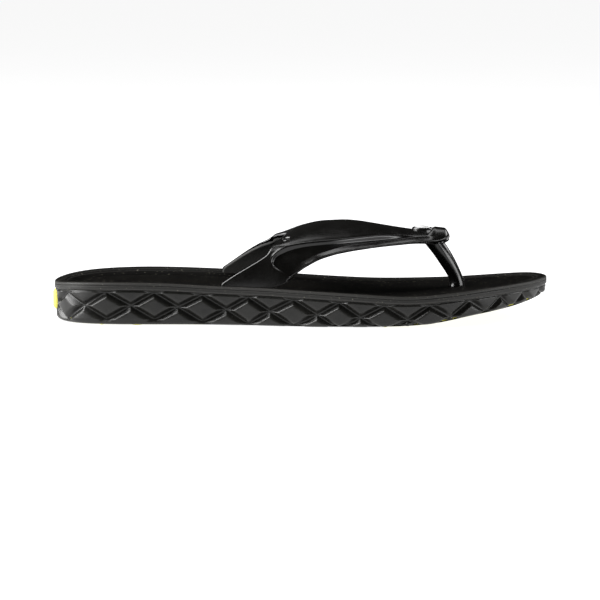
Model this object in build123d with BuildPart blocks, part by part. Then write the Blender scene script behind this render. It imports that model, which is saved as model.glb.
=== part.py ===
from build123d import *
import os

os.makedirs("parts", exist_ok=True)

# A flip flop for the right foot. The origin is on the ground, at the middle of the sole's length
# and width. +X points at the toe, +Y at the big toe's side and +Z up. Lengths are millimetres,
# and a "distance" is measured along the sole from the back of the heel.

# ---- Driving dimensions ----
length = 286.0
half_width = 51.0
rim_heel_height = 22.0
flex_distance = 187.0  # the line under the ball of the foot where the sole bends

# Sole layers
lip_height = 4.4  # side band of the footbed
lip_overhang = 1.2  # how far the band stands proud of the midsole's wall
rim_width = 4.0  # flat rim around the dished top
core_inset = 9.0  # the footbed's underside has a plug that sits in the midsole
core_depth = 1.6
glue_line = 0.05
flex_gap = 0.2

# Outsole
tread_thickness = 3.0
tread_proud = 0.8
tread_inset = 4.5
groove_width = 2.2
groove_depth = 0.7
lug_margin = 0.4
lug_pitch = 19.0
lug_angle = 42.0
lug_columns = 13
heel_pad_range = (3.0, 88.0)
forefoot_pad_range = (flex_distance + 2.0, 276.0)

# Heel patch
patch_half_width = 13.0
patch_bottom = 6.0
patch_height = 11.4
patch_depth = 2.4

# Strap
strap_thickness = 4.0
strap_clearance = 0.1
arms_centre = -1.7
arm_rear = 95.5
arm_front = 135.0
foot_bottom = 12.2
foot_height = 12.0
flange_thickness = 2.8
flange_inner = 21.0
flange_outer = 34.0
flange_end_margin = 3.0
nose_distance = 229.5

# Toe post
post_radius = 3.8
post_bend = (234.0, 9.0, 16.5)  # distance, width and height where the post leaves the sole
post_top = (221.0, 6.5, 45.0)
disc_bottom = 9.7
disc_radius = 8.0
disc_thickness = 2.2
collar_radius = 6.0
collar_height = 4.5
collar_drop = 3.5

# Badge on the strap's nose
badge_distance = 215.5
badge_centre_y = 5.2
badge_half_length = 8.6
badge_half_width = 6.2
badge_seat = 47.7
badge_height = 4.0
badge_wall = 1.7
inlay_depth = 1.6

# Side studs beside the strap's crotch
stud_distance = 133.5
stud_offset = 22.5
stud_seat = 45.6
stud_radius = 2.1
stud_height = 1.7
stud_lean = 0.3

# Outline of the sole from above, distance and width, round the outer side to the toe and back
# along the inner side. Every second point is the middle of an arc.
outline_points = [
    (0, 0), (10.8, -25), (36, -35.8), (70, -37.3), (104, -39.6), (145, -46.2), (186, -50.8),
    (223, -47.2), (252, -34.2), (271, -16.5), (283, 2), (286, 13), (283, 25), (272, 37.6),
    (254, 45.8), (230, 50.3), (204, 51), (166, 46.8), (128, 39.6), (84, 35.8), (36, 35.2),
    (10.8, 24.6), (0, 0),
]

# Height of the rim, and of the dished floor inside it.
rim_points = [
    (-8, 20.6), (0, rim_heel_height), (25, 24.4), (55, 25), (93, 24), (149, 20.9), (200, 17.7),
    (235, 18.4), (258, 20.3), (276, 21.8), (294, 22.8),
]
floor_points = [
    (-8, 19.0), (25, 20.8), (55, 21.3), (93, 20.7), (149, 18.4), (200, 16.1), (235, 16.9),
    (258, 18.8), (276, 20.3), (294, 21.3),
]

# The ground line is flat to here, then rises through the toe spring.
spring_start = 203.0
spring_points = [(235, 4.4), (260, 9.0), (294, 16.5)]

# Cross-sections of the strap's arch: distance, centre, crown height, half width and height of
# its shoulder, half width and height of its lower edge.
arch_sections = [
    (90, -1.5, 43.5, 29.5, 36.5, 35.0, 15.0),
    (122, -1.9, 47.8, 31.0, 42.5, 37.0, 20.0),
    (145, -1.0, 54.8, 30.0, 46.3, 38.0, 31.0),
    (168, 0.5, 56.9, 24.5, 47.6, 31.0, 40.5),
    (191, 2.5, 53.4, 15.5, 48.2, 19.0, 42.5),
    (214, 5.0, 50.2, 8.2, 47.6, 11.0, 43.0),
    (236, 7.2, 47.4, 5.5, 45.2, 8.0, 41.5),
]

# Gap between the arms from above: distance and half width, up to the crotch.
crotch_points = [(112, 34.5), (124, 27.5), (130.5, 14)]
crotch_end = 133.5

# Side view of the strap: its lower edge from the front of the arm to the nose, then the nose.
lower_edge_points = [
    (136.5, 27.5), (144, 33.0), (154, 38.2), (165, 41.2), (180, 42.5), (200, 43.4), (222, 44.2),
]
nose_points = [(nose_distance - 2, 44.2), (nose_distance, 46.5)]
rear_edge_top = (128, 44.8)
rear_edge_bottom = (arm_rear, 24.4)

heel_x = -length / 2
tall = 80.0
wide = 2 * half_width + 40


def along(distance):
    """X of a distance from the heel."""
    return heel_x + distance


def to_points(pairs, shift=0.0):
    """Distance and height pairs as sketch points, raised by shift."""
    return [(along(distance), height + shift) for distance, height in pairs]


# ---- Shapes that the sole's layers share ----


def rim_line(drop=0.0):
    """Side view of the rim, lowered by drop."""
    return Wire([Spline(*to_points(rim_points, -drop), mode=Mode.PRIVATE)])


def floor_line():
    """Side view of the dished floor."""
    return Wire([Spline(*to_points(floor_points), mode=Mode.PRIVATE)])


def ground_line(lift=0.0):
    """Side view of the sole's underside, raised by lift."""
    flat = Line((along(-8), lift), (along(spring_start), lift), mode=Mode.PRIVATE)
    spring = Spline(
        flat @ 1,
        *to_points(spring_points, lift),
        tangents=[(1, 0), (1, 0.2)],
        mode=Mode.PRIVATE,
    )
    return Wire([flat, spring])


def sole_plan(inset):
    """The sole's outline from above, inset from its edge."""
    with BuildSketch() as plan:
        with BuildLine():
            points = to_points(outline_points)
            for start, middle, end in zip(points[0::2], points[1::2], points[2::2]):
                ThreePointArc(start, middle, end)
        make_face()
        if inset:
            offset(amount=-inset)
    return plan.sketch


def side_slab(lower, upper):
    """A slab across the whole sole, between two side lines."""
    with BuildPart() as slab:
        with BuildSketch(Plane.XZ):
            with BuildLine():
                add(lower)
                add(upper)
                Line(lower @ 0, upper @ 0)
                Line(lower @ 1, upper @ 1)
            make_face()
        extrude(amount=wide, both=True)
    return slab.part


def sole_slice(inset, lower, upper):
    """The sole's plan, inset from its edge, between two side lines."""
    with BuildPart() as layer:
        with BuildSketch(Plane.XY.offset(-tall / 2)):
            add(sole_plan(inset))
        extrude(amount=tall)
        add(side_slab(lower, upper), mode=Mode.INTERSECT)
    return layer.part


def cross_band(start, end):
    """A block across the whole sole, between two distances."""
    with BuildPart() as band:
        with Locations((along((start + end) / 2), 0, 0)):
            Box(end - start, wide, tall)
    return band.part


# ---- Strap shapes ----


def arch_solid(inset):
    """Everything under the strap's arch, its skin drawn in by inset."""
    with BuildPart() as arch:
        for distance, centre, crown, shoulder, shoulder_z, edge, edge_z in arch_sections:
            skin = [
                (edge - inset, edge_z),
                (shoulder - 0.75 * inset, shoulder_z - 0.7 * inset),
                (0, crown - inset),
            ]
            right = [(centre + half, height) for half, height in skin]
            left = [(centre - half, height) for half, height in reversed(skin[:-1])]
            with BuildSketch(Plane.YZ.offset(along(distance))):
                with BuildLine():
                    top = Spline(*right, *left)
                    left_foot = Line(top @ 1, ((top @ 1).X, 0))
                    right_foot = Line(top @ 0, ((top @ 0).X, 0))
                    Line(left_foot @ 1, right_foot @ 1)
                make_face()
        loft()
    return arch.part


def arch_shell(clearance):
    """The arch's skin at the strap's thickness, grown by clearance on both faces."""
    with BuildPart() as shell:
        add(arch_solid(-clearance))
        add(arch_solid(strap_thickness + clearance), mode=Mode.SUBTRACT)
    return shell.part


def strap_feet(clearance):
    """The arms' lower ends and flanges inside the sole, grown by clearance."""
    middle = along((arm_front + arm_rear) / 2)
    foot_length = arm_front - arm_rear + 2 * clearance
    flange_length = foot_length - 2 * flange_end_margin
    flange_width = flange_outer - flange_inner + 2 * clearance
    flange_y = (flange_outer + flange_inner) / 2
    with BuildPart() as feet:
        with BuildSketch(Plane.XY.offset(foot_bottom - clearance)):
            with Locations((middle, 0)):
                Rectangle(foot_length, wide)
        extrude(amount=foot_height)
        add(arch_shell(clearance), mode=Mode.INTERSECT)
        with BuildSketch(Plane.XY.offset(foot_bottom - clearance)):
            with Locations((middle, arms_centre + flange_y), (middle, arms_centre - flange_y)):
                Rectangle(flange_length, flange_width)
        extrude(amount=flange_thickness + 2 * clearance)
    return feet.part


def point_at(spot):
    """A (distance, width, height) spot as a point."""
    distance, across, height = spot
    return Vector(along(distance), across, height)


def post_solid(clearance):
    """The post's disc, upright shank and leaning shaft, grown by clearance."""
    bend = point_at(post_bend)
    lean = point_at(post_top) - bend
    with BuildPart() as post:
        with BuildSketch(Plane((bend.X, bend.Y, disc_bottom - clearance))):
            Circle(disc_radius + clearance)
        extrude(amount=disc_thickness + 2 * clearance)
        with BuildSketch(Plane((bend.X, bend.Y, disc_bottom))):
            Circle(post_radius + clearance)
        extrude(amount=bend.Z - disc_bottom)
        with Locations(bend):
            Sphere(post_radius + clearance)
        with BuildSketch(Plane(origin=bend, z_dir=lean)):
            Circle(post_radius + clearance)
        extrude(amount=lean.length)
    return post.part


strap_pocket = strap_feet(strap_clearance)
post_pocket = post_solid(strap_clearance)
flex_plane_rear = Plane.YZ.offset(along(flex_distance))
flex_plane_front = Plane.YZ.offset(along(flex_distance) + flex_gap)

# ---- Footbed: a dished top with a side band and a plug underneath ----
core_drop = lip_height + core_depth
with BuildPart() as footbed:
    add(sole_slice(0, rim_line(lip_height), rim_line()))
    add(sole_slice(core_inset, rim_line(core_drop), rim_line(lip_height - 1)))
    add(sole_slice(rim_width, floor_line(), rim_line(-20)), mode=Mode.SUBTRACT)
    add(strap_pocket, mode=Mode.SUBTRACT)
    add(post_pocket, mode=Mode.SUBTRACT)

with BuildPart() as footbed_rear:
    add(footbed.part)
    split(bisect_by=flex_plane_rear, keep=Keep.BOTTOM)
footbed_rear.part.label = "footbed_rear"
export_step(footbed_rear.part, "parts/footbed_rear.step")

with BuildPart() as footbed_front:
    add(footbed.part)
    split(bisect_by=flex_plane_front, keep=Keep.TOP)
footbed_front.part.label = "footbed_front"
export_step(footbed_front.part, "parts/footbed_front.step")

# ---- Outsole pads: rubber let into the midsole, with diamond lugs ----


def outsole_base(start, end, clearance):
    """The pad that carries the lugs, grown by clearance where it meets the midsole."""
    with BuildPart() as pad:
        top = ground_line(tread_thickness + clearance)
        add(sole_slice(tread_inset - clearance, ground_line(groove_depth - clearance), top))
        add(cross_band(start - clearance, end + clearance), mode=Mode.INTERSECT)
    return pad.part


def outsole_lugs(start, end):
    """Diamond lugs that stand on the pad down to the ground."""
    with BuildPart() as lugs:
        with BuildSketch(Plane.XY.offset(-tall / 2)):
            add(sole_plan(tread_inset + lug_margin))
            with Locations((along((start + end) / 2), 0)):
                Rectangle(end - start - 2 * lug_margin, wide, mode=Mode.INTERSECT)
                with GridLocations(lug_pitch, wide, lug_columns, 1):
                    for lean in (-lug_angle, lug_angle):
                        Rectangle(groove_width, 3 * wide, rotation=lean, mode=Mode.SUBTRACT)
        extrude(amount=tall)
        add(side_slab(ground_line(), ground_line(groove_depth + lug_margin)), mode=Mode.INTERSECT)
    return lugs.part


with BuildPart() as outsole_heel:
    add(outsole_base(*heel_pad_range, 0))
    add(outsole_lugs(*heel_pad_range))
outsole_heel.part.label = "outsole_heel"
export_step(outsole_heel.part, "parts/outsole_heel.step")

with BuildPart() as outsole_forefoot:
    add(outsole_base(*forefoot_pad_range, 0))
    add(outsole_lugs(*forefoot_pad_range))
outsole_forefoot.part.label = "outsole_forefoot"
export_step(outsole_forefoot.part, "parts/outsole_forefoot.step")


# ---- Heel patch: a coloured rubber panel set into the back of the heel ----


def patch_solid(clearance):
    """The patch, grown by clearance where it meets the midsole."""
    with BuildPart() as patch:
        with BuildSketch(Plane.XY.offset(patch_bottom - clearance)):
            add(sole_plan(0))
            add(sole_plan(patch_depth + clearance), mode=Mode.SUBTRACT)
            with Locations((heel_x, 0)):
                Rectangle(20, 2 * (patch_half_width + clearance), mode=Mode.INTERSECT)
        extrude(amount=patch_height + 2 * clearance)
    return patch.part


with BuildPart() as heel_patch:
    add(patch_solid(0))
heel_patch.part.label = "heel_patch"
export_step(heel_patch.part, "parts/heel_patch.step")

# ---- Midsole: the thick foam body between footbed and outsole ----
with BuildPart() as midsole:
    add(sole_slice(lip_overhang, ground_line(tread_proud), rim_line(lip_height + glue_line)))
    plug_bottom = rim_line(core_drop + glue_line)
    add(sole_slice(core_inset - glue_line, plug_bottom, rim_line()), mode=Mode.SUBTRACT)
    add(outsole_base(*heel_pad_range, glue_line), mode=Mode.SUBTRACT)
    add(outsole_base(*forefoot_pad_range, glue_line), mode=Mode.SUBTRACT)
    add(patch_solid(glue_line), mode=Mode.SUBTRACT)
    add(strap_pocket, mode=Mode.SUBTRACT)
    add(post_pocket, mode=Mode.SUBTRACT)

with BuildPart() as midsole_rear:
    add(midsole.part)
    split(bisect_by=flex_plane_rear, keep=Keep.BOTTOM)
midsole_rear.part.label = "midsole_rear"
export_step(midsole_rear.part, "parts/midsole_rear.step")

with BuildPart() as midsole_front:
    add(midsole.part)
    split(bisect_by=flex_plane_front, keep=Keep.TOP)
midsole_front.part.label = "midsole_front"
export_step(midsole_front.part, "parts/midsole_front.step")

# ---- Toe post ----
with BuildPart() as toe_post:
    add(post_solid(0))
toe_post.part.label = "toe_post"
export_step(toe_post.part, "parts/toe_post.step")

# ---- Strap: two arms that join over the instep and run to the post ----


def stud_plane(side):
    """Seat of the stud on one side, facing out of the strap."""
    seat = (along(stud_distance), side * stud_offset + arms_centre, stud_seat)
    return Plane(origin=seat, z_dir=(0, side * stud_lean, 1))


with BuildPart() as strap:
    with BuildSketch(Plane.XZ):
        with BuildLine():
            front_foot = (along(arm_front), foot_bottom + foot_height / 2)
            rear_foot = (along(arm_rear), foot_bottom + foot_height / 2)
            rear_edge = to_points([rear_edge_bottom, rear_edge_top, (rear_edge_top[0], tall)])
            lower_edge = Spline(front_foot, *to_points(lower_edge_points))
            nose = Polyline(lower_edge @ 1, *to_points(nose_points), (along(nose_distance), tall))
            Polyline(nose @ 1, *reversed(rear_edge), rear_foot, front_foot)
        make_face()
    extrude(amount=wide, both=True)
    add(arch_shell(0), mode=Mode.INTERSECT)
    with BuildSketch():
        with BuildLine():
            outer_side = to_points([(d, arms_centre - half) for d, half in crotch_points])
            inner_side = to_points([(d, arms_centre + half) for d, half in crotch_points])
            end = (along(crotch_end), arms_centre)
            crotch = Spline(*outer_side, end, *reversed(inner_side))
            rear_half = crotch_points[0][1]
            Polyline(
                crotch @ 1,
                (along(arm_rear - 10), arms_centre + rear_half),
                (along(arm_rear - 10), arms_centre - rear_half),
                crotch @ 0,
            )
        make_face()
    extrude(amount=tall, mode=Mode.SUBTRACT)
    add(strap_feet(0))
    lean = point_at(post_top) - point_at(post_bend)
    collar_start = point_at(post_top) - lean.normalized() * collar_drop
    with BuildSketch(Plane(origin=collar_start, z_dir=lean)):
        Circle(collar_radius)
    extrude(amount=collar_height)
    add(post_pocket, mode=Mode.SUBTRACT)
    with BuildSketch(Plane.XY.offset(badge_seat)):
        with Locations((along(badge_distance), badge_centre_y)):
            Ellipse(badge_half_length + glue_line, badge_half_width + glue_line)
    extrude(amount=tall, mode=Mode.SUBTRACT)
    with BuildSketch(stud_plane(-1), stud_plane(1)):
        Circle(stud_radius + glue_line)
    extrude(amount=stud_height * 3, mode=Mode.SUBTRACT)
strap.part.label = "strap"
export_step(strap.part, "parts/strap.step")

# ---- Badge: a bezel with a plain inlay ----
with BuildPart() as badge_bezel:
    with BuildSketch(Plane.XY.offset(badge_seat + glue_line)):
        with Locations((along(badge_distance), badge_centre_y)):
            Ellipse(badge_half_length, badge_half_width)
    extrude(amount=badge_height)
    with BuildSketch(Plane.XY.offset(badge_seat + badge_height - inlay_depth)):
        with Locations((along(badge_distance), badge_centre_y)):
            Ellipse(badge_half_length - badge_wall, badge_half_width - badge_wall)
    extrude(amount=inlay_depth * 2, mode=Mode.SUBTRACT)
badge_bezel.part.label = "badge_bezel"
export_step(badge_bezel.part, "parts/badge_bezel.step")

with BuildPart() as badge_inlay:
    with BuildSketch(Plane.XY.offset(badge_seat + badge_height - inlay_depth + glue_line)):
        with Locations((along(badge_distance), badge_centre_y)):
            half_length = badge_half_length - badge_wall - glue_line
            Ellipse(half_length, badge_half_width - badge_wall - glue_line)
    extrude(amount=inlay_depth)
badge_inlay.part.label = "badge_inlay"
export_step(badge_inlay.part, "parts/badge_inlay.step")

# ---- Side studs: one pressed into each side of the strap ----
with BuildPart() as side_studs:
    with BuildSketch(stud_plane(-1), stud_plane(1)):
        Circle(stud_radius)
    extrude(amount=stud_height)
side_studs.part.label = "side_studs"
export_step(side_studs.part, "parts/side_studs.step")
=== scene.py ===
import math

import bmesh
import bpy
import numpy as np
from mathutils import Matrix, Vector
from mathutils.kdtree import KDTree


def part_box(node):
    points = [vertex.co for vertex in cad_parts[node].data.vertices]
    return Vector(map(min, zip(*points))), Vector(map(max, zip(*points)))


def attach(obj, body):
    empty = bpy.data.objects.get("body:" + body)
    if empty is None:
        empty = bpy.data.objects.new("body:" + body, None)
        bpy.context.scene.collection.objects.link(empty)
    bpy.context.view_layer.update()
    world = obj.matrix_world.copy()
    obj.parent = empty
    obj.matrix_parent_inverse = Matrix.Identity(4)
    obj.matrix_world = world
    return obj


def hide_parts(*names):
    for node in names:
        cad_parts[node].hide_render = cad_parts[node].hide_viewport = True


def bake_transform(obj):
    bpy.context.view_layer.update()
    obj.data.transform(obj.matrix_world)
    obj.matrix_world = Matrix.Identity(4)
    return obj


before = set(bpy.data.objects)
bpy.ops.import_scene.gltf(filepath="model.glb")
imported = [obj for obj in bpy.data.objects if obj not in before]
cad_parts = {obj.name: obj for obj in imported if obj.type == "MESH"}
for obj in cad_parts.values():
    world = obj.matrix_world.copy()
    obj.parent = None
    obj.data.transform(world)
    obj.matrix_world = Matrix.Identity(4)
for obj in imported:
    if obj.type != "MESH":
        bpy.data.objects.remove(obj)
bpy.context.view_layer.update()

# A flip flop for the right foot. The frame is in metres; the shapes below are worked out in
# millimetres, and "distance" is measured along the sole from the back of the heel.
MM = 0.001

# ---- Driving dimensions, from the frame ----
heel_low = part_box("footbed_rear")[0] / MM
toe_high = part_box("footbed_front")[1] / MM
LENGTH = toe_high.x - heel_low.x
HALF_WIDTH = (toe_high.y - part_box("footbed_front")[0].y / MM) / 2
HEEL_X = heel_low.x
GROUND_GAP = 0.3  # from the floor up to the foam between the pads
BADGE_LOW, BADGE_HIGH = (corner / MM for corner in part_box("badge_bezel"))
PATCH_LOW, PATCH_HIGH = (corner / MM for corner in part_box("heel_patch"))
PADS = {
    name: tuple(corner.x / MM - HEEL_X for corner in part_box(name))
    for name in ("outsole_heel", "outsole_forefoot")
}

# ---- Sole dimensions ----
BAND = 4.4  # height of the footbed's smooth side band
OVERHANG = 0.8  # how far the band stands proud of the midsole's wall
HEEL_FLUSH, HEEL_FLUSH_LENGTH = 0.3, 12.0  # the overhang is this much less at the very heel
WALL_DRAFT = 0.5  # how far the wall leans in from its top to its foot
RIM_WIDTH, DISH_SLOPE_WIDTH = 3.4, 8.5
BORDER_INSET, BORDER_DEPTH, BORDER_WIDTH = 6.4, 0.45, 0.55  # fine groove round the dish
PLUG_INSET, PLUG_DEPTH = 9.0, 1.6  # the footbed's underside sits in the midsole
WALL_ROUND = 2.4  # radius of the midsole's lower edge
# Distances at which the wall's diagonal grooves cross, the same on both sides.
CROSSINGS = [18, 45.6, 72.6, 100, 124.6, 151.4, 176.1, 203.2, 228.3, 249.8, 265.5, 278]
CROSSING_DROP = 9.2  # from the side band down to the crossings
DIAMOND_RISE = 7.7  # half a diamond's height
DIAMOND_LENGTH = 27.0  # usual length, which sets the slant that groove widths are measured across
DIAMOND_CROWN = 0.4  # how far the middle of a diamond stands out
GROOVE_DEPTH = 2.1
GROOVE_FLOOR = 0.4  # half the width of a groove's floor
GROOVE_BEVEL = 2.1
PANEL_MARGIN = 0.6  # plain wall beside the heel panel
TREAD_INSET = 4.5
TIP_REACH = 2.1  # how far the tip of a lug reaches out beyond the inset
TREAD_THICKNESS = 3.0
SIDE_STEPS = 640  # points along each side of the sole

# Outline of the sole, as shares of its length and half width, round the outer side and back.
OUTLINE = [
    (0, 0), (0.0375, -0.54), (0.126, -0.715), (0.245, -0.731), (0.364, -0.772), (0.507, -0.9),
    (0.65, -0.993), (0.78, -0.924), (0.881, -0.672), (0.948, -0.324), (0.987, 0.03), (1, 0.25),
    (0.99, 0.49), (0.952, 0.737), (0.888, 0.9), (0.804, 0.985), (0.713, 0.998), (0.58, 0.917),
    (0.448, 0.778), (0.294, 0.702), (0.126, 0.69), (0.0375, 0.482),
]
# Heights of the rim along the outer and the inner side, as (distance, height).
OUTER_RIM = [
    (-8, 20.8), (0, 22.4), (13, 24.0), (28, 24.5), (55, 24.5), (72, 23.9), (93, 22.8), (122, 22.0),
    (144, 21.0), (165, 20.0), (188, 18.7), (202, 18.1), (223, 19.1), (235, 20.1), (247, 21.1),
    (258, 21.8), (270, 22.3), (280, 22.3), (294, 22.3),
]
INNER_RIM = [
    (-8, 20.8), (0, 22.4), (13, 24.1), (28, 25.0), (55, 25.5), (84, 24.9), (93, 24.5), (122, 22.4),
    (144, 20.4), (167, 18.5), (186, 17.4), (204, 17.2), (223, 17.6), (237, 18.3), (251, 19.5),
    (265, 21.0), (274, 22.1), (282, 22.9), (294, 23.4),
]
DISH = [(-8, 3.4), (30, 3.6), (75, 3.5), (130, 2.7), (200, 1.6), (294, 1.5)]
SPRING = [
    (150, 0), (180, 0.4), (203, 0.9), (222, 2.6), (235, 4.8), (249, 6.8), (260, 8.2), (277, 10.8),
    (294, 14.4),
]


# ---- Curves and meshes ----


def smooth_curve(points):
    """A natural cubic spline through (position, value, ...) rows, as a function of position."""
    table = np.asarray(points, float)
    knots, values = table[:, 0], table[:, 1:]
    step = np.diff(knots)[:, None]
    slope = np.diff(values, axis=0) / step
    count = len(knots)
    matrix = np.eye(count)
    right = np.zeros_like(values)
    for i in range(1, count - 1):
        matrix[i, i - 1 : i + 2] = (step[i - 1, 0], 2 * (step[i - 1, 0] + step[i, 0]), step[i, 0])
        right[i] = 6 * (slope[i] - slope[i - 1])
    bend = np.linalg.solve(matrix, right)

    def evaluate(at):
        at = np.clip(np.asarray(at, float), knots[0], knots[-1])
        i = np.clip(np.searchsorted(knots, at, side="right") - 1, 0, count - 2)
        h = step[i]
        a = (knots[i + 1] - at)[..., None] / h
        b = 1 - a
        curved = ((a**3 - a) * bend[i] + (b**3 - b) * bend[i + 1]) * h * h / 6
        found = a * values[i] + b * values[i + 1] + curved
        return found[..., 0] if values.shape[1] == 1 else found

    return evaluate


def smoothstep(value):
    """0 below 0, 1 above 1 and a smooth rise between."""
    value = np.clip(value, 0, 1)
    return value * value * (3 - 2 * value)


def bell(offset, width):
    """A smooth bump of height 1 at offset 0."""
    return np.exp(-((offset / width) ** 2))


def chord_length(points):
    """Distance run along a line of points, at each point."""
    steps = np.linalg.norm(np.diff(points, axis=0), axis=1)
    return np.concatenate([[0], np.cumsum(steps)])


def nearest_distance(points, targets):
    """Distance from each point to the nearest target."""
    tree = KDTree(len(targets))
    for index, target in enumerate(targets):
        tree.insert(target, index)
    tree.balance()
    return np.array([tree.find(point)[2] for point in points])


def make_object(name, vertices, faces, slots=None):
    """A smooth-shaded mesh object from millimetre vertices. Slots are its faces' materials."""
    mesh = bpy.data.meshes.new(name)
    mesh.from_pydata((np.asarray(vertices, float) * MM).tolist(), [], faces)
    if slots:
        mesh.polygons.foreach_set("material_index", slots)
    work = bmesh.new()
    work.from_mesh(mesh)
    bmesh.ops.remove_doubles(work, verts=work.verts, dist=0.02 * MM)
    bmesh.ops.recalc_face_normals(work, faces=work.faces)
    work.to_mesh(mesh)
    work.free()
    mesh.shade_smooth()
    obj = bpy.data.objects.new(name, mesh)
    bpy.context.scene.collection.objects.link(obj)
    return obj


def grid_faces(rows, columns, start=0, closed=False, flip=False):
    """Quads of a grid whose vertices run row by row from start."""
    row, column = np.meshgrid(np.arange(rows - 1), np.arange(columns if closed else columns - 1))
    row, column = row.ravel(), column.ravel()
    after = (column + 1) % columns
    corners = np.stack(
        [row * columns + column, row * columns + after, (row + 1) * columns + after,
         (row + 1) * columns + column], axis=1,
    ) + start
    return (corners[:, ::-1] if flip else corners).tolist()


def slab_faces(rows, columns):
    """Faces of a closed slab whose two grids of vertices follow each other."""
    count = rows * columns
    index = np.arange(count).reshape(rows, columns)
    loop = np.concatenate([index[0], index[1:, -1], index[-1, -2::-1], index[-2:0:-1, 0]])
    after = np.roll(loop, -1)
    sides = np.stack([loop, after, after + count, loop + count], axis=1).tolist()
    return grid_faces(rows, columns, flip=True) + grid_faces(rows, columns, count) + sides


# ---- The sole's outline ----


def side_paths():
    """Outer and inner side of the sole from heel to toe, at even spacing, in frame millimetres."""
    ring = np.array(OUTLINE, float)
    ring[:, 0] = ring[:, 0] * LENGTH + HEEL_X
    ring[:, 1] *= HALF_WIDTH
    wrapped = np.vstack([ring[-4:], ring, ring[:5]])
    chord = chord_length(wrapped)
    path = smooth_curve(np.column_stack([chord, wrapped]))
    fine = path(np.linspace(chord[4], chord[4 + len(ring)], 8000))
    toe = int(np.argmax(fine[:, 0]))
    sides = []
    for part in (fine[: toe + 1], fine[toe:][::-1]):
        length = chord_length(part)
        even = np.linspace(0, length[-1], SIDE_STEPS + 1)
        sides.append(np.column_stack([np.interp(even, length, part[:, i]) for i in (0, 1)]))
    return sides


outer_side, inner_side = side_paths()
EDGE = np.vstack([outer_side, inner_side[-2:0:-1]])  # closed ring, heel first, outer side first
COUNT = len(EDGE)
tangent = np.roll(EDGE, -1, axis=0) - np.roll(EDGE, 1, axis=0)
tangent /= np.linalg.norm(tangent, axis=1)[:, None]
OUTWARD = np.column_stack([tangent[:, 1], -tangent[:, 0]])
side_length = np.linalg.norm(np.diff(outer_side, axis=0), axis=1).sum()
along_side = np.linspace(0, 1, SIDE_STEPS + 1) * side_length

outer_rim = smooth_curve(OUTER_RIM)
inner_rim = smooth_curve(INNER_RIM)
dish_curve = smooth_curve(DISH)
spring_curve = smooth_curve(SPRING)


def rim_height(x, y):
    """Height of the rim at x, between its outer and inner heights."""
    lean = smoothstep(0.5 + y / (1.5 * HALF_WIDTH))
    return outer_rim(x - HEEL_X) * (1 - lean) + inner_rim(x - HEEL_X) * lean


def ground_height(x):
    """Height of the sole's underside at x: flat, then the toe spring."""
    distance = x - HEEL_X
    rise = np.maximum(spring_curve(distance), 0)
    return np.where(distance < SPRING[0][0], 0, rise)


def edge_distance(points):
    """Distance from each plan point to the sole's outline."""
    nearest = np.full(len(points), 1e9)
    for start in range(0, COUNT, 64):
        gap = points[:, None, :2] - EDGE[None, start : start + 64]
        nearest = np.minimum(nearest, np.sqrt((gap**2).sum(2)).min(1))
    return nearest


def ring_at(inset, height):
    """A ring of vertices inset from the outline, at a height."""
    plan = EDGE - OUTWARD * np.reshape(inset, (-1, 1))
    return np.column_stack([plan, np.broadcast_to(height, COUNT)])


def cross_grid(ring, columns):
    """Rows of points across the sole between the two sides of a ring."""
    outer = ring[: SIDE_STEPS + 1, :2]
    inner = np.vstack([ring[0, :2], ring[SIDE_STEPS + 1 :, :2][::-1], ring[SIDE_STEPS, :2]])
    share = np.linspace(0, 1, columns)[None, :, None]
    return outer[:, None] * (1 - share) + inner[:, None] * share


def capped_rings(name, rings, lower_height, upper_height, columns):
    """A closed body from stacked rings, with a cap across the first and the last."""
    vertices = [np.vstack(rings)]
    faces = grid_faces(len(rings), COUNT, closed=True)
    start = len(rings) * COUNT
    for ring, height in ((rings[0], lower_height), (rings[-1], upper_height)):
        plan = cross_grid(ring, columns).reshape(-1, 2)
        vertices.append(np.column_stack([plan, height(plan)]))
        faces += grid_faces(SIDE_STEPS + 1, columns, start)
        start += len(plan)
    return make_object(name, np.vstack(vertices), faces)


# ---- Footbed ----


def dish_drop(x, inset):
    """How far the footbed's surface lies below the rim."""
    drop = dish_curve(x - HEEL_X) * smoothstep((inset - RIM_WIDTH) / DISH_SLOPE_WIDTH)
    return drop + BORDER_DEPTH * bell(inset - BORDER_INSET, BORDER_WIDTH)


def build_footbed():
    """Dished top layer with its side band."""
    rim = rim_height(EDGE[:, 0], EDGE[:, 1])
    profile = [
        (PLUG_INSET + 0.6, BAND + PLUG_DEPTH), (PLUG_INSET, BAND + PLUG_DEPTH - 0.5),
        (PLUG_INSET, BAND), (1.9, BAND), (1.3, BAND), (0.6, BAND - 0.06), (0.2, BAND - 0.25),
        (0.02, BAND - 0.6), (0, 3.2), (0, 2.6), (0, 2.05), (0.06, 1.9), (0.3, 1.78), (0.3, 1.66),
        (0.06, 1.54), (0, 1.4), (0, 1.0), (0.08, 0.62), (0.3, 0.28), (0.62, 0.08), (1.0, 0),
    ]
    rings = [ring_at(inset, rim - drop) for inset, drop in profile]
    insets = [1.6, 2.4, 3.0, 3.4, 3.8, 4.3, 4.8, 5.2, 5.6, 5.9, 6.15, 6.4, 6.65, 6.9, 7.2, 7.6,
              8.2, 9.0, 10.0, 11.0, 12.0, 13.0, 14.0]
    for inset in insets:
        ring = ring_at(inset, rim)
        ring[:, 2] = rim_height(ring[:, 0], ring[:, 1]) - dish_drop(ring[:, 0], inset)
        rings.append(ring)

    def underside(plan):
        return rim_height(*plan.T) - BAND - PLUG_DEPTH

    def top(plan):
        return rim_height(*plan.T) - dish_drop(plan[:, 0], edge_distance(plan))

    return capped_rings("footbed_shell", rings, underside, top, 44)


# ---- Midsole ----


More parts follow.
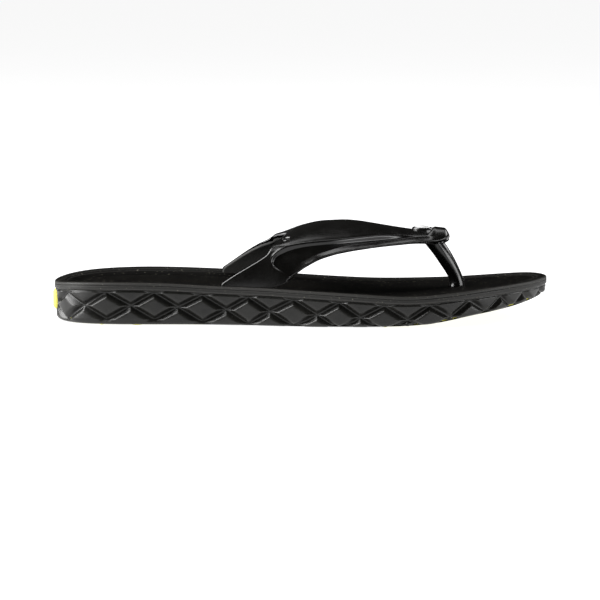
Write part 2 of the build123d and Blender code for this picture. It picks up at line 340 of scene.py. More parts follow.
def wall_phase():
    """Place along the wall, counted in diamonds, at each point of the outline."""
    phases = []
    for side in (outer_side, inner_side):
        marks = np.interp(CROSSINGS, side[:, 0] - HEEL_X, along_side)
        first, last = marks[1] - marks[0], marks[-1] - marks[-2]
        marks = np.concatenate([[marks[0] - first], marks, [marks[-1] + last]])
        phases.append(np.interp(along_side, marks, np.arange(len(marks))))
    return np.concatenate([phases[0], phases[1][-2:0:-1]])


def wall_relief(phase, drop):
    """Depth of the diamond grooves, at a phase along the wall and a drop below the side band."""
    slope = DIAMOND_RISE / (DIAMOND_LENGTH / 2)
    across = DIAMOND_LENGTH * slope / math.hypot(1, slope)
    nearest = 1e9
    for direction in (-1, 1):
        shifted = phase + direction * (drop - CROSSING_DROP) / (2 * DIAMOND_RISE)
        nearest = np.minimum(nearest, np.abs(shifted - np.round(shifted)) * across)
    groove = 1 - np.clip((nearest - GROOVE_FLOOR) / GROOVE_BEVEL, 0, 1)
    crown = DIAMOND_CROWN * smoothstep(nearest / 4.0)
    above_foot = smoothstep((CROSSING_DROP + DIAMOND_RISE + 1.6 - drop) / 2.2)
    below_band = smoothstep(drop - 0.3)
    return above_foot * (GROOVE_DEPTH * groove - crown) * below_band


def inside_pad(plan, margin):
    """True where a plan point lies over one of the outsole pads."""
    inset = edge_distance(plan)
    distance = plan[:, 0] - HEEL_X
    covered = np.zeros(len(plan), bool)
    for start, end in PADS.values():
        covered |= (distance > start + margin) & (distance < end - margin)
    return covered & (inset > TREAD_INSET + margin)


def build_midsole():
    """Foam body with the diamond relief round its wall and a plain frame round the heel panel."""
    top = rim_height(EDGE[:, 0], EDGE[:, 1]) - BAND
    bottom = ground_height(EDGE[:, 0]) + GROUND_GAP
    wall = top - bottom
    rounding = np.minimum(WALL_ROUND, wall * 0.4)
    phase = wall_phase()
    from_middle = np.abs(EDGE[:, 1])
    behind_panel = (from_middle < PATCH_HIGH.y + PANEL_MARGIN) & (EDGE[:, 0] < 0)
    panel_groove = bell(from_middle - PATCH_HIGH.y + 1.6, 0.9)
    overhang = OVERHANG - HEEL_FLUSH * (1 - smoothstep((EDGE[:, 0] - HEEL_X) / HEEL_FLUSH_LENGTH))

    def relief_at(height):
        return np.where(behind_panel, panel_groove, wall_relief(phase, top - height))

    def wall_inset(height):
        return overhang + WALL_DRAFT * (1 - (height - bottom) / wall)

    rings = []
    for angle in np.linspace(0, math.pi / 2, 9):
        turn_in = rounding * (1 - math.sin(angle))
        height = bottom + rounding * (1 - math.cos(angle))
        relief = relief_at(height)
        inset = wall_inset(height) + turn_in + relief * math.sin(angle)
        rings.append(ring_at(inset, height + 0.4 * relief * math.cos(angle)))
    for share in np.linspace(0, 1, 46)[1:]:
        height = bottom + rounding + (wall - rounding) * share
        rings.append(ring_at(wall_inset(height) + relief_at(height), height))
    rings.append(ring_at(OVERHANG + 2, top))

    def underside(plan):
        recess = np.where(inside_pad(plan, 0.8), TREAD_THICKNESS - GROUND_GAP, 0)
        return ground_height(plan[:, 0]) + GROUND_GAP + recess

    def seat(plan):
        return rim_height(*plan.T) - BAND - PLUG_DEPTH * (edge_distance(plan) > PLUG_INSET - 1)

    return capped_rings("midsole_body", rings, underside, seat, 60)


# ---- Outsole pads ----

# Places along the outer side where a lug's tip reaches the sole's edge, and half its width.
LUG_TIPS = [(9.5, 2.0), (28.5, 2.4), (49, 4.4), (190, 2.4), (256.5, 1.1), (272.0, 1.2)]
LUG_PITCH, LUG_ANGLE = 19.0, math.radians(42)
LUG_HEIGHT = 1.5
PAD_COLUMNS = 121


def tip_share(points):
    """1 at the middle of a lug tip that reaches the sole's outer edge, 0 away from it."""
    share = np.zeros(len(points))
    for place, reach in LUG_TIPS:
        share += bell(points[:, 0] - HEEL_X - place, reach)
    return share * (points[:, 1] < 0)


def build_pad(name, node):
    """A rubber pad with rounded diamond lugs on its underside."""
    start, end = PADS[node]
    ring = ring_at(TREAD_INSET - TIP_REACH * tip_share(EDGE), 0)
    rows = cross_grid(ring, PAD_COLUMNS)
    distance = rows[:, 0, 0] - HEEL_X
    rows = rows[(distance >= start) & (distance <= end)]
    plan = rows.reshape(-1, 2)
    border_gap = nearest_distance(np.column_stack([plan, np.zeros(len(plan))]), ring)
    from_end = np.minimum(plan[:, 0] - HEEL_X - start, end - (plan[:, 0] - HEEL_X))
    pitch = LUG_PITCH * math.cos(LUG_ANGLE)
    gap = 1e9
    for direction in (-1, 1):
        shifted = plan[:, 0] * math.cos(LUG_ANGLE) + direction * plan[:, 1] * math.sin(LUG_ANGLE)
        gap = np.minimum(gap, np.abs((shifted + pitch / 2) % pitch - pitch / 2))
    tips = np.clip(tip_share(plan), 0, 1)
    lug = np.maximum(smoothstep((gap - 0.8) / 0.9), smoothstep(1.3 * tips))
    fade = 5.0 - 4.2 * tips
    border = smoothstep(np.minimum(border_gap, from_end + 0.3) / fade)
    ground = ground_height(plan[:, 0])
    lower = ground + np.maximum(LUG_HEIGHT * (1 - lug), 0.9 * (1 - border))
    upper = ground + TREAD_THICKNESS - 0.05
    vertices = np.vstack([np.column_stack([plan, lower]), np.column_stack([plan, upper])])
    return make_object(name, vertices, slab_faces(len(rows), PAD_COLUMNS))


midsole = build_midsole()
footbed = build_footbed()
heel_pad = build_pad("heel_pad", "outsole_heel")
forefoot_pad = build_pad("forefoot_pad", "outsole_forefoot")


# ---- Strap ----

ARMS_CENTRE = -1.7
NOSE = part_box("strap")[1].x / MM - HEEL_X
ARM_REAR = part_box("strap")[0].x / MM - HEEL_X
ARM_FRONT, CROTCH_END = 135.0, 133.5
THICKNESS = 4.0
STUD_DISTANCE, STUD_OFFSET = 134.0, 22.5  # from the heel, and from the middle of the arms
STRAP_ACROSS, STRAP_ALONG = 380, 190  # grid of the strap's sheet
EASE = 9  # the border's corners are averaged over this many tenths of a millimetre each way
EDGE_ROUND, EDGE_POWER = 1.3, 2.6  # the sheet's rounded edge, a superellipse
LIP_WIDTH = 3.8
NOSE_START, NOSE_END = 215.4, 225.4  # the raised tip of the nose
NOSE_MIDDLE, NOSE_HALF_WIDTH, NOSE_RISE = 6.3, 6.0, 2.9
STUD_RADIUS = 2.3
STUD_DIMPLE, STUD_DIMPLE_SLOPE = 0.8, 1.3
SCOOP_DEPTH = 1.5

# Cross-sections of the strap's skin: distance, centre, half width and height of the shoulder,
# half width and height of the lower edge.
SECTIONS = [
    (90, -1.5, 29.5, 36.5, 35.0, 15.0), (122, -1.9, 31.0, 42.5, 37.0, 20.0),
    (145, -1.0, 30.0, 46.3, 38.0, 31.0), (168, 0.5, 24.5, 47.6, 31.0, 40.5),
    (191, 2.5, 15.5, 48.2, 19.0, 42.5), (214, 5.0, 8.2, 47.6, 11.0, 43.0),
    (236, 7.2, 5.5, 45.2, 8.0, 41.5),
]
# Height of the crown along the strap, as (distance, height).
CROWN = [
    (90, 43.0), (122, 44.0), (128, 45.7), (133.5, 48.7), (139.6, 52.1), (146.6, 54.6), (153.6, 56.1),
    (160.6, 56.6), (168, 56.8), (191, 53.4), (214, 50.2), (236, 47.4),
]
SHOULDER = 0.55  # share of the way from the crown to the lower edge
# Rear edge of each arm as (distance, height), then round the crotch as (distance, half width).
OUTER_REAR = [(96.8, 24.0), (104.6, 29.2), (111.6, 33.4), (118.6, 37.6), (123.0, 40.6)]
INNER_REAR = [(96.2, 25.6), (104.6, 31.6), (111.6, 36.6), (118.6, 40.8), (122.6, 42.6)]
CROTCH = [(125.4, 29.5), (126.8, 26), (128.6, 20.5), (131.4, 13), (133.0, 5)]
# Lower edge from the front of the arm to the nose, as (distance, height).
LOWER_EDGE = [
    (135.2, 23), (136.5, 27.5), (144, 33), (154, 38.2), (165, 41.2), (180, 42.5), (200, 43.4),
    (221, 44.0),
]
# How far the lower edge turns out, as (distance, rise).
LIP = [
    (137, 0), (143, 0.9), (150, 1.9), (160, 2.1), (168, 1.8), (176, 2.0), (184, 2.6), (192, 2.9),
    (200, 2.9), (208, 2.5), (216, 1.3), (222, 0),
]
# Crisp ridge along the shoulder and round the rear end of the scoop below it.
RIDGE = [
    (215, 47.6), (205, 48.3), (193, 48.6), (180, 48.2), (168, 47.6), (156, 47.0), (143, 45.9),
    (136, 44.6), (130.6, 42.6), (127.2, 40.2), (125.6, 37.0), (126.2, 34.2), (129.5, 31.4),
    (135.5, 28.4),
]

section_curve = smooth_curve(SECTIONS)
crown_curve = smooth_curve(CROWN)
across_basis = smooth_curve(np.column_stack([(-1, -SHOULDER, 0, SHOULDER, 1), np.eye(5)]))


def skin_point(distance, across):
    """Points of the strap's skin. Across runs from -1 at the outer edge to 1 at the inner."""
    table = section_curve(distance)
    centre, shoulder, shoulder_z, edge, edge_z = np.moveaxis(table, -1, 0)
    crown = crown_curve(distance)
    basis = across_basis(across)
    y = (basis * np.stack([-edge, -shoulder, 0 * edge, shoulder, edge], -1)).sum(-1) + centre
    z = (basis * np.stack([edge_z, shoulder_z, crown, shoulder_z, edge_z], -1)).sum(-1)
    return np.stack([HEEL_X + np.asarray(distance, float) + 0 * y, y, z], -1)


def side_samples(distance, side):
    """Shares across one side of the skin at a distance, and the skin's points there."""
    shares = np.linspace(0, 1, 400)
    return shares, skin_point(np.full(400, float(distance)), side * shares)


def across_at_height(distance, height, side):
    """How far across one side of the skin lies at a height."""
    shares, points = side_samples(distance, side)
    return side * np.interp(-height, -points[:, 2], shares)


def across_at_width(distance, half_width, side):
    """How far across one side of the skin lies at a half width from the middle of the arms."""
    shares, points = side_samples(distance, side)
    return side * np.interp(half_width, np.abs(points[:, 1] - ARMS_CENTRE), shares)


def sheet_border(corners, count):
    """An evenly spaced border line through (distance, across) points, its corners eased."""
    table = np.array(corners)
    solid = skin_point(table[:, 0], table[:, 1])
    chord = chord_length(solid)
    fine_at = np.arange(0, chord[-1], 0.1)
    fine = np.column_stack([np.interp(fine_at, chord, table[:, i]) for i in (0, 1)])
    for _ in range(3):
        padded = np.pad(fine, ((EASE, EASE), (0, 0)), "edge")
        total = np.cumsum(np.vstack([np.zeros((1, 2)), padded]), axis=0)
        eased = (total[2 * EASE + 1 :] - total[: -2 * EASE - 1]) / (2 * EASE + 1)
        fine[EASE:-EASE] = eased[EASE:-EASE]
    solid = skin_point(fine[:, 0], fine[:, 1])
    length = chord_length(solid)
    even = np.linspace(0, length[-1], count)
    return np.column_stack([np.interp(even, length, fine[:, i]) for i in (0, 1)])


def strap_borders():
    """Rear and front border of the strap's sheet, from the outer foot to the inner foot."""
    rear, front = [], []
    for side, rear_edge in ((-1, OUTER_REAR), (1, INNER_REAR)):
        arm = [(ARM_REAR, side)]
        arm += [(d, across_at_height(d, height, side)) for d, height in rear_edge]
        arm += [(d, across_at_width(d, half, side)) for d, half in CROTCH]
        edge = [(ARM_FRONT, side)]
        edge += [(d, across_at_height(d, height, side)) for d, height in LOWER_EDGE]
        edge += [(NOSE_END + 1.1, side * 0.72), (NOSE - 0.6, side * 0.35)]
        rear.append(arm)
        front.append(edge)
    rear_border = rear[0] + [(CROTCH_END, 0.0)] + rear[1][::-1]
    front_border = front[0] + [(NOSE, 0.0)] + front[1][::-1]
    return [sheet_border(border, STRAP_ACROSS) for border in (rear_border, front_border)]


def polyline_points(corners, step):
    """Points spaced by step along a smooth line through (distance, height) corners."""
    table = np.array(corners, float)
    chord = chord_length(table)
    return smooth_curve(np.column_stack([chord, table]))(np.arange(0, chord[-1], step))


def inside_polygon(points, corners):
    """True where a 2-D point lies inside the polygon."""
    inside = np.zeros(len(points), bool)
    for (x0, y0), (x1, y1) in zip(corners, np.roll(corners, -1, axis=0)):
        crosses = (y0 > points[:, 1]) != (y1 > points[:, 1])
        at = x0 + (points[:, 1] - y0) * (x1 - x0) / (y1 - y0 if y1 != y0 else 1)
        inside ^= crosses & (points[:, 0] < at)
    return inside


def scoop_relief(points):
    """Outward displacement of the strap's skin for the ridge and the scoop below it."""
    side_view = np.column_stack([points[:, 0] - HEEL_X, points[:, 2]])
    ridge = polyline_points(RIDGE, 0.25)
    flat = np.column_stack([ridge, np.zeros(len(ridge))])
    gap = nearest_distance(np.column_stack([side_view, np.zeros(len(points))]), flat)
    scoop = np.vstack([ridge, [(145, 20), (222, 20), (222, 46)]])
    inside = inside_polygon(side_view, scoop)
    distance, height = side_view.T
    fade = 1 - smoothstep((distance - 186) / 26)
    bead = 0.2 * bell(gap, 0.8) * smoothstep((height - 35) / 3)
    crease = np.exp(-gap / 4.5) * smoothstep((height - 41) / 4)
    depth = smoothstep(gap / 1.5) * (1 - 0.45 * smoothstep((gap - 3.0) / 8))
    depth *= 0.3 + 0.7 * smoothstep((height - 27) / 9)
    return fade * (bead + crease - np.where(inside, SCOOP_DEPTH * depth, 0))


def nose_knob(points):
    """Outward displacement of the raised tip of the strap's nose."""
    place = points[:, 0] - HEEL_X
    rise = smoothstep((place - NOSE_START) / 5.0) * (1 - smoothstep((place - NOSE_END) / 4.0))
    return NOSE_RISE * rise * bell(points[:, 1] - NOSE_MIDDLE, NOSE_HALF_WIDTH)


def stud_place(side):
    """Where a stud sits on the skin, as distance and share across."""
    return STUD_DISTANCE, across_at_width(STUD_DISTANCE, STUD_OFFSET, side)


def stud_dimples(points):
    """Depth of the round dimples that hold the studs."""
    depth = np.zeros(len(points))
    for side in (-1, 1):
        gap = np.linalg.norm(points - skin_point(*stud_place(side)), axis=1)
        depth += STUD_DIMPLE * (1 - smoothstep((gap - STUD_RADIUS) / STUD_DIMPLE_SLOPE))
    return depth


def strap_sheet(rear, front):
    """Grid of (distance, across) between the two borders, bowed where its arms turn."""
    along = (1 - np.cos(np.linspace(0, math.pi, STRAP_ALONG))) / 2
    share = np.linspace(0, 1, STRAP_ACROSS)
    bow = 0.5 * np.sin(math.pi * np.minimum(share, 1 - share) * 2) * np.sign(0.5 - share)
    sheet = rear[:, None] * (1 - along[None, :, None]) + front[:, None] * along[None, :, None]
    sheet[..., 1] += bow[:, None] * (along * (1 - along))[None]
    return sheet[..., 0], sheet[..., 1]


def skin_normals(distance, across):
    """Outward unit normals of the skin."""
    run = skin_point(distance + 0.05, across) - skin_point(distance, across)
    above = skin_point(distance, np.clip(across + 0.002, -1, 1))
    below = skin_point(distance, np.clip(across - 0.002, -1, 1))
    normal = np.cross(run, above - below).reshape(-1, 3)
    return normal / np.linalg.norm(normal, axis=1)[:, None]


def build_strap():
    """The strap: one thick sheet with rounded edges, scooped sides and a nose."""
    rear, front = strap_borders()
    distance, across = strap_sheet(rear, front)
    points = skin_point(distance, across).reshape(-1, 3)
    normal = skin_normals(distance, across)
    from_rear = nearest_distance(points, skin_point(*sheet_border(rear, 2400).T))
    from_front = nearest_distance(points, skin_point(*sheet_border(front, 3000).T))
    place = points[:, 0] - HEEL_X

    half = THICKNESS / 2 + 0.6 * smoothstep((place - 190) / 35)
    corner = EDGE_ROUND + 1.5 * smoothstep((place - 222) / 6)
    rounding = 1 - np.clip(np.minimum(from_rear, from_front) / corner, 0, 1)
    swell = half * (1 - rounding**EDGE_POWER) ** (1 / EDGE_POWER)
    flare = np.interp(place, *np.transpose(LIP)) * np.clip(1 - from_front / LIP_WIDTH, 0, 1)
    relief = scoop_relief(points) + nose_knob(points) - stud_dimples(points)
    outer = points + normal * (relief + flare - half + swell)[:, None]
    inner = points + normal * (0.55 * flare - half - swell)[:, None]
    count = len(points)
    upper_faces = grid_faces(STRAP_ACROSS, STRAP_ALONG, flip=True)
    lower_faces = grid_faces(STRAP_ACROSS, STRAP_ALONG, count)
    foot_faces = []
    for row in (0, STRAP_ACROSS - 1):
        low = np.arange(STRAP_ALONG - 1) + row * STRAP_ALONG
        foot_faces += np.stack([low, low + 1, low + 1 + count, low + count], axis=1).tolist()
    faces = upper_faces + lower_faces + foot_faces
    slots = [0] * len(upper_faces) + [1] * (len(lower_faces) + len(foot_faces))
    return make_object("strap_body", np.vstack([outer, inner]), faces, slots)


# ---- Tubes, rings and domes ----


def tube(name, path, radii, sides=48):
    """A round tube through (distance, width, height) points with a radius at each."""
    table = np.array(path, float)
    chord = chord_length(table)
    curve = smooth_curve(np.column_stack([chord, table]))
    girth = smooth_curve(np.column_stack([chord, radii]))
    at = np.linspace(0, chord[-1], 70)
    centres = curve(at)
    centres[:, 0] += HEEL_X
    heading = np.gradient(centres, axis=0)
    heading /= np.linalg.norm(heading, axis=1)[:, None]
    sideways = np.cross(heading, (1, 0, 0.3))
    sideways /= np.linalg.norm(sideways, axis=1)[:, None]
    third = np.cross(heading, sideways)
    angle = np.linspace(0, 2 * math.pi, sides, endpoint=False)
    ring = np.cos(angle)[None, :, None] * sideways[:, None]
    ring = ring + np.sin(angle)[None, :, None] * third[:, None]
    vertices = (centres[:, None] + ring * girth(at)[:, None, None]).reshape(-1, 3)
    faces = grid_faces(len(at), sides, closed=True)
    faces.append(list(range(sides)))
    faces.append(list(range(len(vertices) - sides, len(vertices))))
    return make_object(name, vertices, faces)


def ellipse_loft(name, centre, half_length, half_width, profile, lean=(0, 0)):
    """Rings of an ellipse, each inset and raised as the profile says, closed at both ends."""
    angle = np.linspace(0, 2 * math.pi, 72, endpoint=False)
    rings = []
    for inset, height in profile:
        x = (half_length - inset) * np.cos(angle)
        y = (half_width - inset) * np.sin(angle)
        z = height + x * lean[0] + y * lean[1]
        rings.append(np.column_stack([x, y, z]) + np.asarray(centre, float))
    vertices = np.vstack(rings)
    faces = grid_faces(len(profile), len(angle), closed=True)
    faces.append(list(range(len(vertices) - len(angle), len(vertices))))
    faces.append(list(range(len(angle)))[::-1])
    return make_object(name, vertices, faces)


def build_post():
    """Toe post with a flared foot and a collar under the strap."""
    path = [
        (233.6, 9, 12), (233.6, 9, 15.5), (233.6, 8.9, 17.8), (233.2, 8.7, 20.5),
        (231.8, 8.3, 24.4), (227.2, 7.5, 32.7), (222.8, 6.8, 39.4), (220.4, 6.5, 42.6),
        (218.8, 6.2, 44.9),
    ]
    radii = [4.9, 4.9, 4.7, 4.2, 4.0, 4.5, 4.7, 4.8, 5.0]
    return tube("toe_post_shaft", path, radii)


BADGE_LEAN = (-0.03, 0.0)  # rise per length and per width
BADGE_SHIFT = -2.4  # the badge sits behind the raised tip of the nose
BEZEL_WIDTH = 1.7


def build_badge():
    """A rounded bezel and its plain domed inlay."""
    centre = ((BADGE_LOW.x + BADGE_HIGH.x) / 2 + BADGE_SHIFT, (BADGE_LOW.y + BADGE_HIGH.y) / 2, 0)
    half_length = (BADGE_HIGH.x - BADGE_LOW.x) / 2 + BADGE_SHIFT + 0.2
    half_width = (BADGE_HIGH.y - BADGE_LOW.y) / 2 - 0.8
    low, high = BADGE_LOW.z - 1.5, BADGE_HIGH.z + 0.3
    bezel = ellipse_loft(
        "badge_ring", centre, half_length, half_width,
        [(0.2, low), (0, low + 1.6), (0.05, high - 1.6), (0.25, high - 0.8), (0.6, high - 0.25),
         (1.05, high), (1.4, high - 0.15), (1.65, high - 0.6), (1.75, high - 1.4)],
        lean=BADGE_LEAN,
    )
    inlay = ellipse_loft(
        "badge_dome", centre, half_length - BEZEL_WIDTH, half_width - BEZEL_WIDTH,
        [(0, high - 1.7), (0, high - 0.7), (0.2, high - 0.2), (0.6, high + 0.15),
         (1.2, high + 0.45), (2.2, high + 0.75), (3.2, high + 0.92), (4.0, high + 0.95)],
        lean=BADGE_LEAN,
    )
    return bezel, inlay


def build_studs():
    """One low round stud beside the crotch on each side of the strap."""
    profile = [(0, -1.6), (0, -0.5), (0.15, -0.2), (0.6, 0.1), (1.2, 0.25), (1.8, 0.3)]
    studs = []
    for side, name in ((-1, "stud_outer"), (1, "stud_inner")):
        distance, across = stud_place(side)
        seat = skin_point(distance, across)
        run = skin_point(distance + 1, across) - seat
        rise = skin_point(distance, across + 0.02) - seat
        normal = Vector(np.cross(run, rise)).normalized()
        stud = ellipse_loft(name, (0, 0, 0), STUD_RADIUS, STUD_RADIUS, profile)
        turn = Vector((0, 0, 1)).rotation_difference(normal).to_matrix().to_4x4()
        stud.data.transform(Matrix.Translation(Vector(seat) * MM) @ turn)
        studs.append(stud)
    return studs


PANEL_INSET, PANEL_PUFF, PANEL_DEPTH = 2.6, 1.3, 3.8


def build_panel():
    """Coloured rubber panel set into the back of the heel."""
    half_width = (PATCH_HIGH.y - PATCH_LOW.y) / 2 - PANEL_INSET
    low, high = PATCH_LOW.z + 0.3, PATCH_HIGH.z - 0.3
    rows, columns = 16, 60
    across = np.linspace(-1, 1, columns)
    heel = np.vstack([inner_side[60:0:-1], outer_side[:61]])
    heel = heel[np.argsort(heel[:, 1])]
    front, back = [], []
    for share in np.linspace(0, 1, rows):
        z = low + (high - low) * share
        y = across * half_width * (1 - 0.06 * abs(2 * share - 1) ** 3)
        x = np.interp(y, heel[:, 1], heel[:, 0])
        side_gap = (1 - np.abs(across)) * half_width
        edge_gap = np.minimum(side_gap, min(share, 1 - share) * (high - low))
        puff = PANEL_PUFF * smoothstep(edge_gap / 1.4) ** 0.5
        front.append(np.column_stack([x + 0.4 - puff, y, np.full(columns, z)]))
        back.append(np.column_stack([x + PANEL_DEPTH, y, np.full(columns, z)]))
    vertices = np.vstack(front + back)
    return make_object("heel_panel", vertices, slab_faces(rows, columns))


strap = build_strap()
toe_post = build_post()
badge_ring, badge_dome = build_badge()
studs = build_studs()
heel_panel = build_panel()


# ---- Materials ----


class Material:
    """A Principled material with short names for its nodes."""

    def __init__(self, name):
        self.material = bpy.data.materials.new(name)
        self.material.use_nodes = True
        self.nodes = self.material.node_tree.nodes
        self.links = self.material.node_tree.links
        self.shader = self.nodes["Principled BSDF"]
        self.place = self.add("ShaderNodeTexCoord").outputs["Object"]

    def add(self, kind, **values):
        """A node with its inputs or attributes set."""
        node = self.nodes.new(kind)
        for key, value in values.items():
            if key in node.inputs:
                node.inputs[key].default_value = value
            else:
                setattr(node, key, value)
        return node

    def link(self, source, target):
        self.links.new(source, target)

    def noise(self, scale, detail=4.0, roughness=0.55):
        """Noise at a feature size in millimetres."""
        node = self.add(
            "ShaderNodeTexNoise", Scale=1 / (scale * MM), Detail=detail, Roughness=roughness
        )
        self.link(self.place, node.inputs["Vector"])
        return node.outputs["Fac"]

    def ramp(self, source, low, high, start, end):
        """Maps source from low..high to start..end. Colours are tuples, values are numbers."""
        node = self.add("ShaderNodeValToRGB")
        stops = node.color_ramp.elements
        for stop, place, value in ((stops[0], low, start), (stops[1], high, end)):
            stop.position = place
            stop.color = (*value, 1) if isinstance(value, tuple) else (value, value, value, 1)
        self.link(source, node.inputs["Fac"])
        return node.outputs["Color"]

    def mix(self, factor, first, second):
        """Mixes two colours, each a tuple or another node's colour, by a node's factor."""
        node = self.add("ShaderNodeMix", data_type="RGBA")
        for value, place in ((factor, 0), (first, 6), (second, 7)):
            if isinstance(value, tuple):
                node.inputs[place].default_value = (*value, 1)
            else:
                self.link(value, node.inputs[place])
        return node.outputs[2]

    def bump(self, layers):
        """Stacks bumps of (height source, distance in millimetres, strength)."""
        normal = None
        for height, distance, strength in layers:
            node = self.add("ShaderNodeBump", Strength=strength, Distance=distance * MM)
            self.link(height, node.inputs["Height"])
            if normal:
                self.link(normal, node.inputs["Normal"])
            normal = node.outputs["Normal"]
        self.link(normal, self.shader.inputs["Normal"])

    def finish(self, colour, roughness, **values):
        """Connects colour and roughness and sets plain shader values."""
        self.link(colour, self.shader.inputs["Base Color"])
        self.link(roughness, self.shader.inputs["Roughness"])
        for key, value in values.items():
            self.shader.inputs[key.replace("_", " ")].default_value = value
        return self.material


def edge_wear(maker, radius, amount):
    """Share of wear: 0 on flat faces, rising to amount on sharp outer edges."""
    geometry = maker.add("ShaderNodeNewGeometry")
    return maker.ramp(geometry.outputs["Pointiness"], 0.5, 0.5 + radius, 0.0, amount)


def foam_material(name, dark, light, roughness):
    """Moulded foam: fine pores, soft mottling, specks of dust and scuffed edges."""
    maker = Material(name)
    mottle = maker.noise(14)
    pores = maker.noise(0.35, 2.0)
    grain = maker.noise(1.4, 5.0)
    base = maker.mix(maker.ramp(mottle, 0.35, 0.65, 0.0, 1.0), dark, light)
    worn = maker.mix(edge_wear(maker, 0.06, 0.35), base, tuple(3.0 * part for part in light))
    dust = maker.ramp(maker.noise(0.8, 1.0), 0.74, 0.78, 0.0, 0.25)
    colour = maker.mix(dust, worn, (0.12, 0.115, 0.10))
    low, high = roughness
    maker.bump([(grain, 0.12, 0.35), (pores, 0.05, 0.4)])
    return maker.finish(
        colour, maker.ramp(grain, 0.3, 0.7, low, high), Specular_IOR_Level=0.34
    )


def footbed_material():
    """Matt black top with lint and soft scuffs, and a slightly shiny side band painted paler as
    painted light.
    """
    maker = Material("footbed_skin")
    slope = maker.add("ShaderNodeSeparateXYZ")
    maker.link(maker.add("ShaderNodeNewGeometry").outputs["Normal"], slope.inputs["Vector"])
    flat = maker.ramp(slope.outputs["Z"], 0.35, 0.8, 0.0, 1.0)
    mottle = maker.noise(22)
    grain = maker.noise(0.9, 4.0)
    pores = maker.noise(0.3, 2.0)
    top = maker.mix(
        maker.ramp(mottle, 0.3, 0.7, 0.0, 1.0), (0.0012, 0.0011, 0.0010), (0.0030, 0.0028, 0.0025)
    )
    # Painted light: the steep side band gets a paler colour than the flat top, chosen by the
    # surface's slope.
    base = maker.mix(flat, (0.0062, 0.0060, 0.0054), top)
    worn = maker.mix(edge_wear(maker, 0.05, 0.4), base, (0.07, 0.068, 0.064))
    lint = maker.ramp(maker.noise(0.9, 0.5), 0.73, 0.78, 0.0, 0.5)
    colour = maker.mix(lint, worn, (0.20, 0.19, 0.15))
    maker.bump([(grain, 0.10, 0.3), (pores, 0.04, 0.35)])
    shine = maker.ramp(flat, 0.0, 1.0, 0.26, 0.02)
    maker.link(shine, maker.shader.inputs["Specular IOR Level"])
    return maker.finish(colour, maker.ramp(grain, 0.3, 0.7, 0.46, 0.6))


def gloss_material(name, colour, roughness, scale=30.0):
    """Glossy moulded plastic with faint flow waviness, micro scratches and smears."""
    maker = Material(name)
    flow = maker.noise(scale, 2.0)
    smear = maker.noise(7.0, 6.0, 0.65)
    fine = maker.noise(0.5, 3.0)
    base = maker.mix(
        maker.ramp(flow, 0.35, 0.65, 0.0, 1.0), colour, tuple(1.5 * part for part in colour)
    )
    shade = maker.mix(edge_wear(maker, 0.05, 0.25), base, tuple(4 * part for part in colour))
    low, high = roughness
    maker.bump([(flow, 0.35, 0.05), (fine, 0.01, 0.05)])
    return maker.finish(
        shade, maker.ramp(smear, 0.35, 0.75, low, high), Specular_IOR_Level=0.36,
        Coat_Weight=0.08, Coat_Roughness=0.08,
    )


def rubber_material(name, colour):
    """Matt coloured rubber with patches of dirt."""
    maker = Material(name)
    mottle = maker.noise(6, 5.0)
    grain = maker.noise(0.6, 3.0)
    darker = tuple(0.72 * part for part in colour)
    base = maker.mix(maker.ramp(mottle, 0.3, 0.7, 0.0, 1.0), darker, colour)
    dirt = maker.ramp(maker.noise(2.2, 6.0), 0.56, 0.75, 0.0, 0.4)
    shade = maker.mix(dirt, base, (0.20, 0.17, 0.05))
    maker.bump([(grain, 0.08, 0.4)])
    return maker.finish(shade, maker.ramp(grain, 0.3, 0.7, 0.5, 0.7))


def cover(obj, *materials):
    """Gives obj its materials, slot 0 first."""
    for material in materials:
        obj.data.materials.append(material)


foam = foam_material("midsole_foam", (0.0035, 0.0035, 0.003), (0.0075, 0.0073, 0.0064), (0.27, 0.40))
footbed_skin = footbed_material()
gloss = gloss_material("strap_gloss", (0.0018, 0.0017, 0.0015), (0.17, 0.28))
# Painted light: the strap's matt underside is coloured far lighter than its gloss to stand for light
# on the shaded inner face of the far arm.
underside_painted_light = foam_material("strap_underside_painted_light", (0.010, 0.010, 0.009), (0.016, 0.0155, 0.014), (0.6, 0.75))
inlay = gloss_material("badge_gloss", (0.30, 0.30, 0.30), (0.12, 0.2), 5.0)
yellow = rubber_material("outsole_rubber", (0.64, 0.60, 0.10))

# The strap has two: glossy above, and on its underside a matt one painted lighter, as painted light
# in the shaded gap between the arms.
for piece, *materials in (
    (midsole, foam), (footbed, footbed_skin), (heel_pad, yellow), (forefoot_pad, yellow),
    (heel_panel, yellow), (strap, gloss, underside_painted_light), (toe_post, gloss), (badge_ring, gloss),
    (badge_dome, inlay), (studs[0], gloss), (studs[1], gloss),
):
    cover(piece, *materials)


# ---- What each piece stands for and rides on ----


for piece, *nodes in (
    (footbed, "footbed_rear", "footbed_front"), (midsole, "midsole_rear", "midsole_front"),
    (heel_pad, "outsole_heel"), (forefoot_pad, "outsole_forefoot"), (heel_panel, "heel_patch"),
    (strap, "strap"), (toe_post, "toe_post"), (badge_ring, "badge_bezel"),
    (badge_dome, "badge_inlay"), (studs[0], "side_studs"),
):
    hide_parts(*nodes)
for piece in (footbed, midsole, forefoot_pad):
    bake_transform(piece)
for piece in (strap, *studs):
    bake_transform(piece)
for piece in (heel_pad, heel_panel):
    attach(piece, "rear")
for piece in (toe_post, badge_ring, badge_dome):
    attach(piece, "front")


# ---- Floor, lights and camera ----


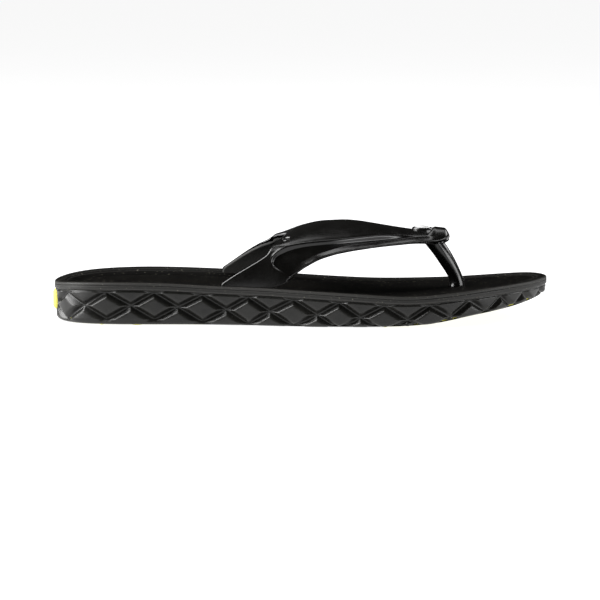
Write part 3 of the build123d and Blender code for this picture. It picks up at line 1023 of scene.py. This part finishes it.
def floor_material():
    """Plain pale floor, evenly bright like a lit sweep."""
    maker = Material("studio_floor")
    tone = maker.ramp(maker.noise(300, 1.0), 0.3, 0.7, (0.24, 0.24, 0.24), (0.26, 0.26, 0.26))
    rough = maker.ramp(maker.noise(60, 1.0), 0.3, 0.7, 0.75, 0.8)
    maker.shader.inputs["Emission Color"].default_value = (1, 1, 1, 1)
    return maker.finish(tone, rough, Emission_Strength=0.93, Specular_IOR_Level=0.1)


def area_light(name, place, width, height, power):
    """A rectangular softbox aimed at the object."""
    data = bpy.data.lights.new(name, "AREA")
    data.shape = "RECTANGLE"
    data.size, data.size_y = width, height
    data.energy = power
    light = bpy.data.objects.new(name, data)
    light.location = place
    light.rotation_euler = (-Vector(place)).to_track_quat("-Z", "Y").to_euler()
    bpy.context.scene.collection.objects.link(light)


FLOOR_SIZE, FLOOR_HEIGHT = 14, -0.0002  # metres, the floor just below the sole
bpy.ops.mesh.primitive_plane_add(size=FLOOR_SIZE, location=(0, 0, FLOOR_HEIGHT))
floor = bpy.context.object
floor.name = "studio_floor"
cover(floor, floor_material())

world = bpy.data.worlds.new("studio")
world.use_nodes = True
background = world.node_tree.nodes["Background"]
background.inputs["Color"].default_value = (1, 1, 1, 1)
background.inputs["Strength"].default_value = 0.02
bpy.context.scene.world = world
bpy.context.scene.view_settings.view_transform = "Standard"

# Name, place, width and height in metres, and power in watts.
area_light("left_box", (-1.05, -0.05, 1.15), 1.2, 1.2, 66)
area_light("top_box", (0.25, 0.38, 1.4), 1.5, 0.26, 4.6)
area_light("right_box", (1.1, 0.5, 0.8), 0.8, 0.8, 12)
area_light("low_left_box", (-1.35, -0.4, 0.2), 0.9, 0.35, 20)
area_light("low_right_box", (1.3, -0.7, 0.2), 1.0, 0.35, 9)

CAMERA_LENS, CAMERA_DISTANCE, CAMERA_ELEVATION = 186.1, 1.8, math.radians(7.3)
camera_data = bpy.data.cameras.new("camera")
camera_data.lens = CAMERA_LENS
camera = bpy.data.objects.new("camera", camera_data)
aim = Vector((-0.001, 0, 0.010))
backward = Vector((0, -math.cos(CAMERA_ELEVATION), math.sin(CAMERA_ELEVATION)))
camera.location = aim + CAMERA_DISTANCE * backward
camera.rotation_euler = (aim - camera.location).to_track_quat("-Z", "Y").to_euler()
bpy.context.scene.collection.objects.link(camera)
bpy.context.scene.camera = camera

bpy.context.view_layer.update()
